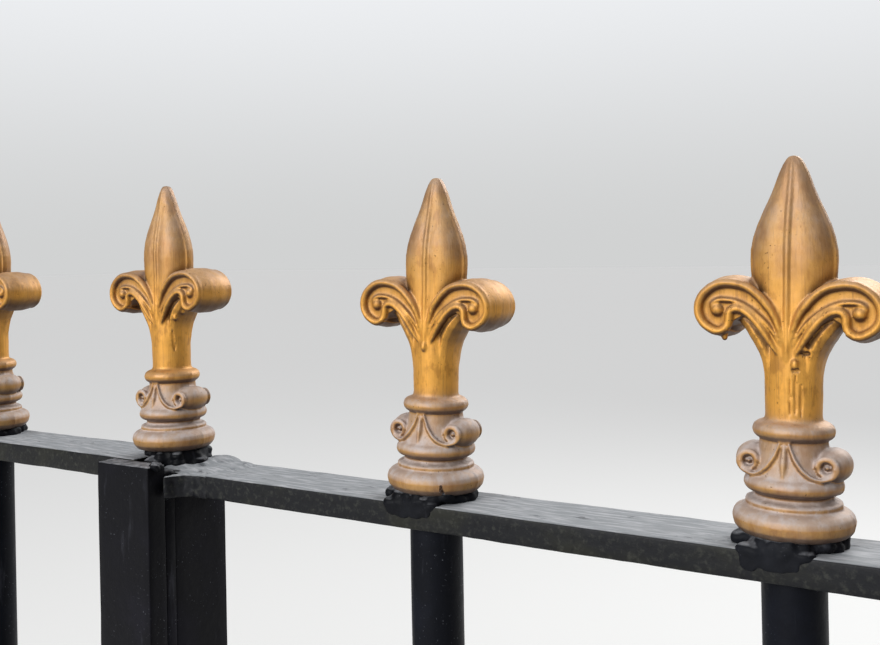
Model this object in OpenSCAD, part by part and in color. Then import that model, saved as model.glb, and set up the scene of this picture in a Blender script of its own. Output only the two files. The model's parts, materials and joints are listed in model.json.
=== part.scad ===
// Pair of wrought iron driveway gate leaves between two posts, with gilt fleur-de-lis finials.
// Origin: centre of the underside of the left post's base plate, at ground level.
// +X runs along the gate to the right post, +Y into the property, +Z up. Millimetres.

/* [Leaves] */
// Round bars in each leaf, between its stiles
bar_count = 8; // [4:1:9]
// Distance between the centres of neighbouring bars
bar_pitch = 168; // [140:1:210]
// Last bar of the left leaf to the meeting line
left_last_bay = 168; // [140:1:210]
// Last bar of the right leaf to the meeting line
right_last_bay = 177; // [140:1:215]
// Height of the right leaf's top rail above the ground
rail_top = 1320; // [1050:5:1700]
// How much higher the left leaf hangs
left_lift = 4; // [0:0.5:8]
// Ground to the feet of the stiles
foot_gap = 50; // [30:5:90]
// Ground to the underside of the bottom rail
bottom_rail_z = 70; // [60:5:160]
// Ground to the underside of the middle rail
middle_rail_z = 560; // [380:10:800]

/* [Rails and bars] */
// Depth of the flat rails, front to back
rail_d = 38; // [34:1:50]
// Thickness of the flat rails
rail_t = 12; // [8:0.5:16]
// Diameter of the round bars
bar_d = 25; // [16:0.5:30]

/* [Stiles] */
// Width of the hinge stiles
hinge_stile_w = 50; // [40:1:60]
// Width of the left leaf's meeting stile
left_stile_w = 20; // [16:1:30]
// Width of the right leaf's meeting stile
right_stile_w = 20; // [16:1:30]
// Wall of the box section stiles
stile_wall = 3; // [2:0.5:5]
// Meeting line to the end of the left leaf
left_end_gap = 12; // [9:0.5:16]
// Right leaf's top rail past the meeting line
right_rail_over = 5; // [0:0.5:5]
// Meeting line to the right leaf's meeting stile
right_stile_gap = 0; // [0:0.5:3]
// Clearance between the left leaf and what the right leaf carries over it
leaf_clearance = 5; // [5:0.5:8]

/* [Cover strip] */
// Width of the cover strip over the meeting joint
strip_w = 40; // [36:1:50]
// Thickness of the cover strip
strip_t = 12; // [6:0.5:14]
// Space between the cover strip and the rails behind it
strip_gap = 6.5; // [5:0.5:9]
// Top of the cover strip above the top of the rail
strip_rise = 5; // [0:0.5:6]

/* [Finials] */
// Height of a finial casting
finial_h = 147; // [130:1:180]
// Width of a finial across its petals
finial_w = 75; // [60:1:84]
// Diameter of a finial's round base
finial_base_d = 47; // [40:1:54]
// Diameter of a finial's stem
finial_stem_d = 22; // [18:0.5:25]
// Width of a finial's leaf
leaf_w = 33; // [26:1:36]
// Thickness of a finial's leaf, front to back
leaf_d = 22; // [18:1:24]
// Depth of a finial's petals
petal_d = 26; // [25:1:28]
// Length of the small scrolls over a finial's base
scroll_l = 18; // [12:1:24]
// Height of the black weld seat under a finial
seat_h = 4; // [2:0.5:6]
// Diameter of that seat
seat_d = 36; // [28:1:38]
// Diameter of the collar under the centre finial
collar_d = 30; // [24:1:34]

/* [Posts] */
// Width of the square posts
post_w = 100; // [80:5:150]
// Wall of the posts
post_wall = 5; // [3:0.5:8]
// Height of a post under its cap
post_h = 1480; // [1450:10:1800]
// Overhang of a post cap on each side
cap_over = 6; // [2:1:12]
// Thickness of the flat part of a post cap
cap_t = 8; // [5:1:12]
// Height of a cap's pyramid
cap_rise = 26; // [10:1:60]
// Side of the square base plates
plate_w = 200; // [180:5:260]
// Thickness of the base plates
plate_t = 12; // [8:1:20]
// Distance between the anchor bolt holes, both ways
bolt_spacing = 150; // [140:5:160]
// Diameter of the anchor bolt holes
bolt_hole_d = 18; // [12:1:20]

/* [Hinges] */
// Hinge axis to the face of its post
axis_to_post = 45; // [42:1:60]
// Hinge axis to the edge of its stile
axis_to_stile = 24; // [22:1:32]
// Diameter of the hinge pins
pin_d = 20; // [14:1:22]
// Radial clearance of the pins in their eyes
pin_clearance = 0.05; // [0.02:0.01:0.1]
// Outer diameter of the eyes
eye_d = 34; // [32:1:36]
// Height of the eyes
eye_h = 50; // [36:1:70]
// Ground to the underside of the lower eyes
lower_eye_z = 170; // [150:5:260]
// Top rail down to the underside of the upper eyes
upper_eye_drop = 165; // [140:5:260]

/* [Drop bolt] */
// Diameter of the drop bolt
bolt_d = 16; // [12:1:18]
// Height of the drop bolt's handle above the ground
bolt_top = 500; // [430:10:700]
// Ground to the tip of the raised bolt
bolt_tip = 15; // [10:1:40]

/* [Hidden] */
$fn = 48;
eps = 1;

first_x = axis_to_stile + hinge_stile_w / 2;
left_reach = first_x + bar_count * bar_pitch + left_last_bay;
right_reach = first_x + bar_count * bar_pitch + right_last_bay;
left_axis_x = post_w / 2 + axis_to_post;
meet_x = left_axis_x + left_reach;
right_axis_x = meet_x + right_reach;
right_post_x = right_axis_x + axis_to_post + post_w / 2;

left_end = left_reach - left_end_gap;
right_rail_end = right_reach + right_rail_over;
left_stile_x = left_end - left_stile_w;
right_stile_x = right_reach - right_stile_gap - right_stile_w;
rail_from = axis_to_stile + hinge_stile_w;

collar_h = left_lift + leaf_clearance;

upper_eye_z = rail_top - upper_eye_drop;
hinge_slack = 0.5;
lug_d = 32;
lug_t = 16;
hinge_plate_t = 8;
hinge_plate_w = 60;
hinge_plate_h = 110;
pin_rise = 6;
neck_w = 22;
neck_h = 38;

strip_y = -rail_d / 2 - strip_gap;
strip_top = rail_top + strip_rise;
packing_w = strip_w / 2 - right_stile_gap;
weld_inset = 2;
weld_h = 14;

guide_w = 26;
guide_h = 30;
guide_wall = 5;
guide_over_foot = 30;
guide_under_handle = 90;
guide_levels = [foot_gap + guide_over_foot, bolt_top - guide_under_handle];
bolt_slack = 0.3;
bolt_x = right_stile_gap + guide_w / 2;
bolt_y = rail_d / 2 + guide_wall + bolt_slack + bolt_d / 2;
handle_l = 66;
handle_d = 12;

// Rings of a finial's base, from its foot up: height, how far inside the foot's radius, half height
foot_ring = [5.5, 0, 5.5];
waist = [12, 7, 3];
lower_ring = [19.5, 4.7, 4];
upper_ring_z = 40.5;
upper_ring_over = 4.1;
upper_ring_half_h = 3.3;
neck_over = 2.3;
scroll_r = 5.4;
scroll_z = 28;
scroll_over = 4.5;

// The leaf's arcs would meet 1% above the finial's top, which leaves its tip blunt.
leaf_r = leaf_w / 2;
leaf_z = 0.75 * finial_h;
leaf_half_h = 0.26 * finial_h;
leaf_faces = 96;

petal_top = 0.683 * finial_h;
petal_r = finial_w / 4 + eps / 2;
petal_hollow_x = 0.4 * finial_w;
petal_hollow_z = 0.42 * finial_h;
petal_hollow_r = 17.5;

IRON = "#26272b";
RAIL = "#5c6165";
WELD = "#1d1e20";
GILT = "#c08a42";

// Places: a leaf is drawn from its own hinge axis, with +X towards the meeting line.
module on_left() {
    translate([left_axis_x, 0, left_lift]) children();
}

module on_right() {
    translate([right_axis_x, 0, 0]) mirror([1, 0, 0]) children();
}

module at_meeting() {
    translate([meet_x, 0, 0]) children();
}

// Posts
module base_plate() {
    color(IRON) difference() {
        translate([-plate_w / 2, -plate_w / 2, 0]) cube([plate_w, plate_w, plate_t]);
        for (sx = [-1, 1], sy = [-1, 1])
            translate([sx * bolt_spacing / 2, sy * bolt_spacing / 2, -eps])
                cylinder(h = plate_t + 2 * eps, d = bolt_hole_d);
    }
}

module post() {
    inner_w = post_w - 2 * post_wall;
    color(IRON) translate([0, 0, plate_t]) difference() {
        translate([-post_w / 2, -post_w / 2, 0]) cube([post_w, post_w, post_h]);
        translate([-inner_w / 2, -inner_w / 2, -eps]) cube([inner_w, inner_w, post_h + 2 * eps]);
    }
}

module roof_prism(w, rise) {
    translate([0, w / 2, 0]) rotate([90, 0, 0])
        linear_extrude(height = w) polygon([[-w / 2, 0], [w / 2, 0], [0, rise]]);
}

module post_cap() {
    cap_w = post_w + 2 * cap_over;
    color(IRON) translate([0, 0, plate_t + post_h]) {
        translate([-cap_w / 2, -cap_w / 2, 0]) cube([cap_w, cap_w, cap_t]);
        translate([0, 0, cap_t]) intersection() {
            roof_prism(cap_w, cap_rise);
            rotate([0, 0, 90]) roof_prism(cap_w, cap_rise);
        }
    }
}

// Hinges: the pin stands on a lug from the post, and the leaf's eye sits over it.
module hinge_pin(eye_z) {
    lug_top = eye_z - hinge_slack;
    color(IRON) {
        translate([-axis_to_post, -hinge_plate_w / 2, lug_top - hinge_plate_h])
            cube([hinge_plate_t, hinge_plate_w, hinge_plate_h]);
        translate([-axis_to_post + hinge_plate_t, -lug_d / 2, lug_top - lug_t])
            cube([axis_to_post - hinge_plate_t, lug_d, lug_t]);
        translate([0, 0, lug_top - lug_t]) cylinder(h = lug_t, d = lug_d);
        translate([0, 0, lug_top - lug_t]) cylinder(h = lug_t + hinge_slack + eye_h + pin_rise, d = pin_d);
    }
}

module hinge_eye(eye_z) {
    color(IRON) translate([0, 0, eye_z]) difference() {
        union() {
            cylinder(h = eye_h, d = eye_d);
            translate([0, -neck_w / 2, (eye_h - neck_h) / 2]) cube([axis_to_stile, neck_w, neck_h]);
        }
        translate([0, 0, -eps]) cylinder(h = eye_h + 2 * eps, r = pin_d / 2 + pin_clearance);
    }
}

// Frame of a leaf
module stile(x, w) {
    h = rail_top - rail_t - foot_gap;
    inner_w = w - 2 * stile_wall;
    inner_d = rail_d - 2 * stile_wall;
    color(IRON) translate([x, -rail_d / 2, foot_gap]) difference() {
        cube([w, rail_d, h]);
        translate([stile_wall, stile_wall, stile_wall]) cube([inner_w, inner_d, h]);
    }
}

module rail(x0, x1, z) {
    color(RAIL) translate([x0, -rail_d / 2, z]) cube([x1 - x0, rail_d, rail_t]);
}

module bars(z0, z1) {
    color(IRON) for (i = [1:bar_count])
        translate([first_x + i * bar_pitch, 0, z0]) cylinder(h = z1 - z0, d = bar_d);
}

module upper_bars() {
    bars(middle_rail_z + rail_t, rail_top - rail_t);
}

module lower_bars() {
    bars(bottom_rail_z + rail_t, middle_rail_z);
}

// Finials
module ring_profile(r, z, half_h) {
    translate([0, z - half_h]) square([r - half_h, 2 * half_h]);
    translate([r - half_h, z]) circle(r = half_h);
}

module leaf_profile() {
    arc_r = (leaf_half_h * leaf_half_h + leaf_r * leaf_r) / (2 * leaf_r);
    intersection() {
        translate([leaf_r - arc_r, leaf_z]) circle(r = arc_r, $fn = leaf_faces);
        translate([0, leaf_z - leaf_half_h]) square([leaf_r, finial_h - leaf_z + leaf_half_h]);
    }
}

// The base, stem and leaf are one turned shape, with the leaf flattened front and back.
module turned_body() {
    stem_r = finial_stem_d / 2;
    difference() {
        rotate_extrude() {
            square([stem_r, leaf_z]);
            for (ring = [foot_ring, waist, lower_ring])
                ring_profile(finial_base_d / 2 - ring[1], ring[0], ring[2]);
            translate([0, lower_ring[0]]) square([stem_r + neck_over, upper_ring_z - lower_ring[0]]);
            ring_profile(stem_r + upper_ring_over, upper_ring_z, upper_ring_half_h);
            leaf_profile();
        }
        for (s = [0, 1]) mirror([0, s, 0])
            translate([-leaf_r - eps, leaf_d / 2, leaf_z - leaf_half_h])
                cube([2 * (leaf_r + eps), leaf_r, 2 * leaf_half_h]);
    }
}

module petal_outline() {
    difference() {
        translate([finial_w / 2 - petal_r, petal_top - petal_r]) circle(r = petal_r);
        translate([petal_hollow_x, petal_hollow_z]) circle(r = petal_hollow_r);
    }
}

module finial() {
    color(GILT) {
        turned_body();
        for (s = [0, 1]) mirror([s, 0, 0]) {
            rotate([90, 0, 0]) linear_extrude(height = petal_d, center = true) petal_outline();
            translate([finial_stem_d / 2 + scroll_over, 0, scroll_z]) rotate([90, 0, 0])
                cylinder(h = scroll_l, r = scroll_r, center = true);
        }
    }
}

module finial_row() {
    for (i = [0:bar_count])
        translate([first_x + i * bar_pitch, 0, rail_top + seat_h]) finial();
}

module seat_row() {
    color(WELD) for (i = [0:bar_count])
        translate([first_x + i * bar_pitch, 0, rail_top]) cylinder(h = seat_h, d = seat_d);
}

// Meeting of the leaves: everything here is carried by the right leaf.
module cover_strip() {
    color(IRON) translate([-strip_w / 2, strip_y - strip_t, foot_gap])
        cube([strip_w, strip_t, strip_top - foot_gap]);
}

// The packing fills the space between the strip and the stile, flush with both at the right.
module cover_strip_packing() {
    color(IRON) translate([right_stile_gap, strip_y, foot_gap])
        cube([packing_w, strip_gap, rail_top - weld_h - foot_gap]);
}

module cover_strip_weld() {
    color(WELD) translate([right_stile_gap + weld_inset, strip_y, rail_top - weld_h])
        cube([packing_w - weld_inset, strip_gap, weld_h]);
}

module centre_collar() {
    flat_x = leaf_clearance - left_end_gap;
    color(WELD) translate([0, 0, rail_top]) difference() {
        cylinder(h = collar_h, d = collar_d);
        translate([flat_x - collar_d, -collar_d, -eps]) cube([collar_d, 2 * collar_d, collar_h + 2 * eps]);
    }
}

module centre_finial() {
    translate([0, 0, rail_top + collar_h]) finial();
}

module drop_bolt() {
    color(IRON) translate([bolt_x, bolt_y, 0]) {
        translate([0, 0, bolt_tip]) cylinder(h = bolt_top - bolt_tip, d = bolt_d);
        translate([0, 0, bolt_top - bolt_d / 2]) rotate([0, 90, 0]) cylinder(h = handle_l, d = handle_d);
    }
}

module drop_bolt_guides() {
    guide_d = bolt_y - rail_d / 2 + bolt_d / 2 + guide_wall;
    color(IRON) for (z = guide_levels) difference() {
        translate([bolt_x - guide_w / 2, rail_d / 2, z]) cube([guide_w, guide_d, guide_h]);
        translate([bolt_x, bolt_y, z - eps])
            cylinder(h = guide_h + 2 * eps, r = bolt_d / 2 + bolt_slack);
    }
}

base_plate();  // left_base_plate
post();  // left_post
post_cap();  // left_post_cap
translate([right_post_x, 0, 0]) base_plate();  // right_base_plate
translate([right_post_x, 0, 0]) post();  // right_post
translate([right_post_x, 0, 0]) post_cap();  // right_post_cap
on_left() hinge_pin(upper_eye_z);  // left_upper_hinge_pin
on_left() hinge_pin(lower_eye_z);  // left_lower_hinge_pin
on_right() hinge_pin(upper_eye_z);  // right_upper_hinge_pin
on_right() hinge_pin(lower_eye_z);  // right_lower_hinge_pin
on_left() stile(axis_to_stile, hinge_stile_w);  // left_hinge_stile
on_left() stile(left_stile_x, left_stile_w);  // left_meeting_stile
on_left() rail(axis_to_stile, left_end, rail_top - rail_t);  // left_top_rail
on_left() rail(rail_from, left_stile_x, middle_rail_z);  // left_middle_rail
on_left() rail(rail_from, left_stile_x, bottom_rail_z);  // left_bottom_rail
on_left() upper_bars();  // left_upper_bars
on_left() lower_bars();  // left_lower_bars
on_left() hinge_eye(upper_eye_z);  // left_upper_hinge_eye
on_left() hinge_eye(lower_eye_z);  // left_lower_hinge_eye
on_left() seat_row();  // left_finial_seats
on_left() finial_row();  // left_finials
on_right() stile(axis_to_stile, hinge_stile_w);  // right_hinge_stile
on_right() stile(right_stile_x, right_stile_w);  // right_meeting_stile
on_right() rail(axis_to_stile, right_rail_end, rail_top - rail_t);  // right_top_rail
on_right() rail(rail_from, right_stile_x, middle_rail_z);  // right_middle_rail
on_right() rail(rail_from, right_stile_x, bottom_rail_z);  // right_bottom_rail
on_right() upper_bars();  // right_upper_bars
on_right() lower_bars();  // right_lower_bars
on_right() hinge_eye(upper_eye_z);  // right_upper_hinge_eye
on_right() hinge_eye(lower_eye_z);  // right_lower_hinge_eye
on_right() seat_row();  // right_finial_seats
on_right() finial_row();  // right_finials
at_meeting() cover_strip();
at_meeting() cover_strip_packing();
at_meeting() cover_strip_weld();
at_meeting() centre_collar();
at_meeting() centre_finial();
at_meeting() drop_bolt();
at_meeting() drop_bolt_guides();
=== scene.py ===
"""Pair of wrought iron driveway gate leaves with gilt fleur-de-lis finials, between square posts."""
import json
import math
import random

import bpy
from mathutils import Matrix, Vector


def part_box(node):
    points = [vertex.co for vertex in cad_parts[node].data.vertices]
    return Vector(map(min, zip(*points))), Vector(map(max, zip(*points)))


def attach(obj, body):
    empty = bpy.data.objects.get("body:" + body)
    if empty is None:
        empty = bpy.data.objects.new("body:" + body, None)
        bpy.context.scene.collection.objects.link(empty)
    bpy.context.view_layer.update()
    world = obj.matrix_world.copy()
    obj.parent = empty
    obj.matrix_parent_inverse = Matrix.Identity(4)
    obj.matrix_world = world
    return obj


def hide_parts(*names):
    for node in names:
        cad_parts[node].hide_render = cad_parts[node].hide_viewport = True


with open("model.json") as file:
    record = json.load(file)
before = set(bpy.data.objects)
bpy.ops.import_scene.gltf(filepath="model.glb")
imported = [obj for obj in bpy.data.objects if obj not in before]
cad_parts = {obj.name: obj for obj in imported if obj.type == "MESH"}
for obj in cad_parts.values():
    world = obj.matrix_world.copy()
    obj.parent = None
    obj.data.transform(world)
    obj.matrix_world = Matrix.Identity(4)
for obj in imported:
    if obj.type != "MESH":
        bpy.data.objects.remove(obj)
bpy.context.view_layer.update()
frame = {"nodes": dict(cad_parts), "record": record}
SLOTS = {subpart["node"]: subpart["material_slot"] for subpart in frame["record"]["subparts"]}
BODIES = {
    node: body for body, nodes in frame["record"]["behaviour"]["bodies"].items() for node in nodes}

MM = 0.001
X, Y, Z = range(3)
SIDES = ("left", "right")
# Round bars and finials of each leaf
BAR_COUNT = 8
FINIAL_COUNT = 9
WOBBLE = random.Random(7)

# Heights and radii of a finial's turned base and stem, from its foot up, in millimetres
BASE = [
    (0, 0), (0, 19), (0.8, 20.8), (3, 22.6), (6, 23.3), (8.2, 22.8), (9.6, 21.4), (10.5, 19.6),
    (10.8, 17.6), (11.4, 17.4), (11.8, 18.4), (12.9, 18.4), (13.5, 17.4), (13.9, 15.6), (14.7, 14.9),
    (15.7, 14.9), (16.3, 15.9), (16.8, 17.4), (17.8, 18.5), (19.4, 19), (20.9, 18.7), (22.1, 17.8),
    (22.7, 16.6), (25, 15.4), (28, 14.4), (32, 13.5), (36, 12.9), (37.1, 12.7), (37.4, 14),
    (38.6, 15.2), (40.3, 15.7), (42, 15.2), (43.2, 13.9), (43.8, 12.2), (44.3, 11.1), (46, 10.8),
    (55, 10.9), (62, 11), (70, 10.9), (75, 10.3), (80, 8.8), (83, 6), (83, 0),
]
BASE_DEPTH = 0.95
# The line left by the two halves of the mould shows on the base, up to its upper ring
SEAM_TOP = 43
SEAM_PROUD = 0.35
SEAM_HALF_DEPTH = 0.45

# Heights, half widths and half depths of a finial's leaf
LEAF = [
    (66, 0.8, 9.9), (69, 1.6, 10.2), (72, 2.6, 10.4), (76, 4.4, 10.5), (80, 6.8, 10.4), (85, 10, 10.2),
    (90, 13, 10.1), (95, 15.3, 10), (100, 16.4, 10), (106, 16.8, 10), (110.4, 16.6, 9.8),
    (115.3, 15.6, 9.3), (120.3, 13.9, 8.4), (125.2, 11.8, 7.2), (130.2, 9.4, 6), (135.1, 7.4, 5),
    (140, 5.6, 4.1), (143.5, 4, 3.2), (145.6, 2.7, 2.3), (146.6, 1.6, 1.5), (147, 0.6, 0.6),
]
# The leaf has a rounded lobe to each side of its ridge, as shares of its half width
LOBE_SHIFT = 0.27
LOBE_WIDTH = 0.67
LEAF_EDGE = 1.8
LEAF_BACKBONE = [(0, 146.8), (0, 72)]
RIDGE_DEPTH = 0.95
RIDGE_RADII = [0.8] + [1.25] * 13 + [1.1, 0.95, 0.8, 0.7, 0.6]

# The petal on the right, seen from the front: its rims and its middle rib, in x and z
OUTER_RIM = [
    (1.4, 72), (2, 77), (4.6, 84.8), (7.6, 89.4), (11.4, 93.4), (15, 95.8), (19.2, 97),
    (23, 97.3), (26.5, 96.8), (30.8, 94.4), (33.8, 90.8), (34.7, 86.5), (33.4, 82.4), (29.8, 79.2),
    (26, 78.2), (22.8, 80),
]
MIDDLE_RIB = [
    (2.3, 71.5), (3.2, 75), (5.9, 79.8), (9.7, 83.9), (14.3, 87.6), (19, 89.9), (23.4, 90.6),
    (27.2, 90.2), (29.2, 88.6), (28.8, 87),
]
LOWER_RIM = [
    (2.6, 69), (4.8, 72.4), (7, 76.1), (9.9, 80.5), (13.6, 84.6), (17.3, 87), (20.2, 87.2),
    (22, 85.6), (22.2, 83), (22.8, 80),
]
OUTER_RADII = [0.7, 1.1, 1.5] + [1.8] * 13
MIDDLE_RADII = [0.5, 0.6, 0.8] + [1] * 5 + [0.8, 0.6]
LOWER_RADII = [0.6, 1, 1.3] + [1.7] * 7
# How far forward each stands: the first few points from the stem up, then all the rest
RIM_FOOT_DEPTHS = [9.4, 10, 10.4, 10.6]
OUTER_DEPTH = 10.8
MIDDLE_DEPTH = 10.4
LOWER_DEPTH = 10.6
RIM_STRETCH = 1.25
PETAL_FOOT = [(0.5, 70)]
PETAL_ROOT = [
    (20.5, 82.5), (17, 84.5), (13.5, 82.6), (10.2, 79), (7.4, 75.2), (5, 71.6), (2.8, 68.6), (0, 67)]
PETAL_FACE = 10.1
BOSS = (27, 86.6)
BOSS_SIZE = (2.6, 2.4, 2.6)
# The barrel that a petal curls into, bulging between its two faces, from this point of the rim on
BARREL_START = 4
BARREL_RADII = [1.8, 2.3, 2.6] + [2.9] * 9
BARREL_STRETCH = 4.2

# The rounded underside of a petal, from inside the stem to its scroll, and its radii
KEEL = [
    (7, 54), (7.3, 58), (7.5, 62), (7.8, 65.5), (8.5, 69.2), (10.2, 73.6), (12.8, 78), (15.8, 81.8),
    (19, 84.2), (21, 84),
]
KEEL_RADII = [3, 3.3, 3.5, 3.7, 3.9, 4.2, 4.3, 3.9, 3.4, 2.2]
KEEL_STRETCH = 2.25

# The small scroll at the right of the base, and the band that runs into it: x, y and z
SCROLL_BAND = [
    (1.6, -12.9, 37), (3, -13.2, 33), (5.2, -13.5, 29), (8, -13.2, 25.8), (11.3, -12, 23.8),
    (14.9, -10.6, 23.8), (18, -9.6, 25.4), (19, -9.4, 28), (17.9, -9.4, 30.8), (14.9, -9.4, 32),
    (12.1, -9.6, 30.7), (11, -10, 28),
]
BAND_RADII = [0.6, 0.7] + [0.85] * 9 + [0.7]
SCROLL_AT = (14.9, 28)
SCROLL_FACE = 8.8
# The roll of the scroll, from front to back: place, half sizes and shift
SCROLL_ROLL = [
    (-7.6, 4.6, 4.6, 0.1), (-5.5, 5.8, 5.8, 0.4), (-2.8, 6.4, 6.4, 0.7), (0, 6.5, 6.5, 0.8),
    (2.8, 6.4, 6.4, 0.7), (5.5, 5.8, 5.8, 0.4), (7.6, 4.6, 4.6, 0.1)]
# The eye in the middle of the scroll's face, and the ring round it
EYE_TURNS = 12
EYE_RADIUS = 3.1
EYE_RIM = 1.15
EYE_STRETCH = 1.5
EYE_SUNK = 0.8
EYE_SIZE = (1, 1.2, 1)

# The frond down the front of the base, between its two scrolls: x, y and z
FROND = [(0, -12.4, 37.5), (0, -13.3, 33), (0, -14.2, 28.5), (0, -15.2, 23.5)]
FROND_RADII = [0.7, 1, 1.2, 0.5]

FINIAL_HALF_WIDTH = 37.5
FINIAL_VOXEL = 0.5
CAST_SMOOTHING = 4
# The finials near the camera keep more triangles than the others
NEAR_TRIANGLES = 76000
FAR_TRIANGLES = 28000
NEAR_FINIALS = ("left_finials_1", "centre_finial_1", "right_finials_1", "right_finials_2")
# Drops of paint and metal that some castings carry: x, y and z of the middle, then half sizes
DROPS = {
    "right_finials_1": [((0, -10.6, 68), (1.4, 1.2, 2.3))],
    "right_finials_2": [
        ((3.2, -10.4, 66.6), (1.3, 1.1, 2)), ((6.6, -9, 72.4), (1.6, 1, 1)),
        ((-24.5, -9, 76.2), (1.4, 1.4, 1.9))],
    "centre_finial_1": [((12.5, -8, 73.4), (1.2, 1.2, 1.9)), ((15.5, -5, 76.5), (1, 1, 1.8))],
}
# Chips and runs in the paint of some castings: middle, half sizes and depth
MARKS = {
    "right_finials_1": [((14.2, -17.4, 1.2), (0.8, 4, 4.8), 1.6)],
    "right_finials_2": [
        ((3.6, -10, 64.2), (1.6, 2, 0.7), 0.6), ((6.8, -8.4, 70.8), (1.8, 2, 0.6), 0.6),
        ((1.3, -10.3, 54), (0.45, 2, 7), 0.35), ((3.4, -10, 55), (0.5, 2, 7.6), 0.4),
        ((5.4, -9.2, 53), (0.45, 2, 6.4), 0.35)],
    "centre_finial_1": [((9, -7, 60), (0.6, 3, 6), 0.4)],
}
# How far some finials lean to the right along the gate, in degrees, and how much any other may
LEANS = {"centre_finial_1": -1.1, "right_finials_1": 1.4, "right_finials_2": 1.1}
LEAN_LIMIT = 0.7

# Unevenness of a surface: the size of each cloudy pattern and how far it pushes, in millimetres
CAST_SKIN = [(9, 0.28), (1.4, 0.1)]
BAR_SKIN = [(30, 0.6), (6, 0.25)]
FLAT_WAVE_SIZE = 28
FLAT_FINE = (5, 0.25)
WELD_LUMP_SIZE = 4

# A leaf's flat bars and box sections, and a post: the axis along it, its cuts along that axis, the
# width of its strips across it, and the rounding of its edges and its wave where they differ
SECTIONS = {
    "top_rail": (X, (60, 4), 5),
    "middle_rail": (X, (60,), 9),
    "bottom_rail": (X, (60,), 9),
    "hinge_stile": (Z, (60,), 9, 2.2),
    "meeting_stile": (Z, (60,), 9, 0.8, 0.3),
    "post": (Z, (60,), 12, 4),
}
STRIP_SECTION = (Z, (60, 2), 6, 0.8, 0.4)
# Radii of the weld at the foot and the head of each bar
UPPER_BAR_BEADS = (2.2, 1.6)
LOWER_BAR_BEADS = (1.8, 1.8)
BAR_SIDES = 40
BAR_CUTS = 28
BEAD_STEPS = 14
BEAD_PITCH = 5.0
RAIL_BEAD = 1.7
FOOT_BEAD = 3
# Small ironwork that keeps its CAD shape, on each side and at the meeting of the leaves, and how far
# paint rounds its edges
SIDE_FITTINGS = [
    (("base_plate",), 1.5),
    (("post_cap",), 1.5),
    (("upper_hinge_pin", "lower_hinge_pin"), 1),
    (("upper_hinge_eye", "lower_hinge_eye"), 1),
]
MEETING_FITTINGS = {"drop_bolt": 1.2, "drop_bolt_guides": 0.8, "cover_strip_packing": 0.3}

# The weld seat under a finial, and its rings of lumps: radius, height, count and size
SEAT_DISC = [(-0.5, 17.5, 17.5, 0), (4.6, 17.5, 17.5, 0)]
SEAT_RINGS = [(17.6, 1.2, 20, 3), (17.4, 3.4, 18, 2.7)]
# Rows of weld on a seat: how many lumps, the step from one to the next, and the first one's place and
# each one's half sizes, as numbers or as limits to draw between
SEAT_ROWS = [
    (7, (3.6, 0, 0), ((-14, -12), (-17.5, -16), (-1, 0.5)), ((4, 5.5), (3.4, 4), (2.6, 3.4))),
    (5, (4.2, 0, 0), ((-13.5, -10.5), -18.9, (-4.5, -2.5)), ((4.5, 6), 1, (3, 5))),
    (4, (0, 6, 0), (-18.5, -9, 2), (3.6, 5, (2.6, 3.4))),
]
SEAT_KINDS = 3

# The mound under the centre finial: its foot and the lower of its rings of lumps
MOUND_SUNK = 2
MOUND_RING = (14.6, 2.4, 9, 4.2)
# What the centre finial's mound leaves free for the other leaf's rail, from the foot of the mound
MOUND_FREE = ((-40, -40, -20), (-9.5, 40, 5.2))
# Weld smeared over the end of the right rail: middles and half sizes, from the foot of the mound
SMEARS = [
    ((22, 12, -0.5), (13, 7.5, 5)), ((14, 4, -1), (14, 12, 4.6)), ((11, -10, -1), (11, 9, 3.6)),
    ((31, 2, -1), (15, 14, 2.6)), ((35, 12, -1), (11, 6.5, 3)), ((26, -11, -1), (13, 7.5, 2.6)),
]
# The weld in the corner between the cover strip's edge and the front of the rail, from above
CORNER_WELD = [
    (19, 17), (19, 30.5), (20.6, 29.5), (22.5, 25.5), (25.5, 22), (30, 20), (40, 19.3), (40, 17)]
CORNER_WELD_HALF = 5.9
CORNER_WELD_DROP = 6.1
WELD_VOXEL = 0.8
# How often each weld is smoothed, and how uneven its paint is then, in millimetres
SEAT_MELT = (8, 0.8)
MOUND_MELT = (7, 0.8)
RAIL_END_MELT = (4, 1)
STRIP_WELD_MELT = (2, 1.2)

# Heights above a finial's foot at which a painted sheen on its gold (brighter gold standing in for
# reflected light) starts, is full, starts to fade and is gone, and those between which the dust and painted
# sky sheen on its base give out
STEM_SHEEN_HEIGHTS = (36, 51, 76, 116)
DUST_AND_SHEEN_HEIGHTS = (40, 54)

# The camera's place in metres, its turn and roll in degrees, and its lens in millimetres
CAMERA_AT = (2.1247, -0.4333, 1.4358)
CAMERA_YAW = 33.51
CAMERA_ROLL = -1.04
CAMERA_SHIFT = -0.0799
FOCAL_LENGTH = 45
SENSOR_WIDTH = 36
FLOOR_SIZE = 160
# How much light the floor adds where it is looked at, and the room's strength where it only lights
FLOOR_LIFT = 0.5
ROOM_LIGHT = 0.45
# How far up the walls grow lighter, and how far to the side the dark screens begin and are full
WALL_FADE = 0.3
SCREENS = (0.4, 0.8)
# Each lamp's place, its width and height in metres, and its power in watts
LAMPS = {
    "key": ((0.2, -6, 3.4), (4.2, 3.2), 300),
    "back": ((2.9, 5.2, 4.6), (4.5, 2.2), 250),
}
LAMPS_AIM = (1.66, 0, 1.0)


# Working by hand: selecting, editing and joining
def only(*pieces):
    """Select these pieces and nothing else; the last one is the active one."""
    bpy.ops.object.select_all(action="DESELECT")
    for piece in pieces:
        piece.select_set(True)
    bpy.context.view_layer.objects.active = pieces[-1]


def edit(piece, kind="VERT"):
    only(piece)
    bpy.ops.object.mode_set(mode="EDIT")
    bpy.ops.mesh.select_mode(type=kind)


def done():
    bpy.ops.object.mode_set(mode="OBJECT")


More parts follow.
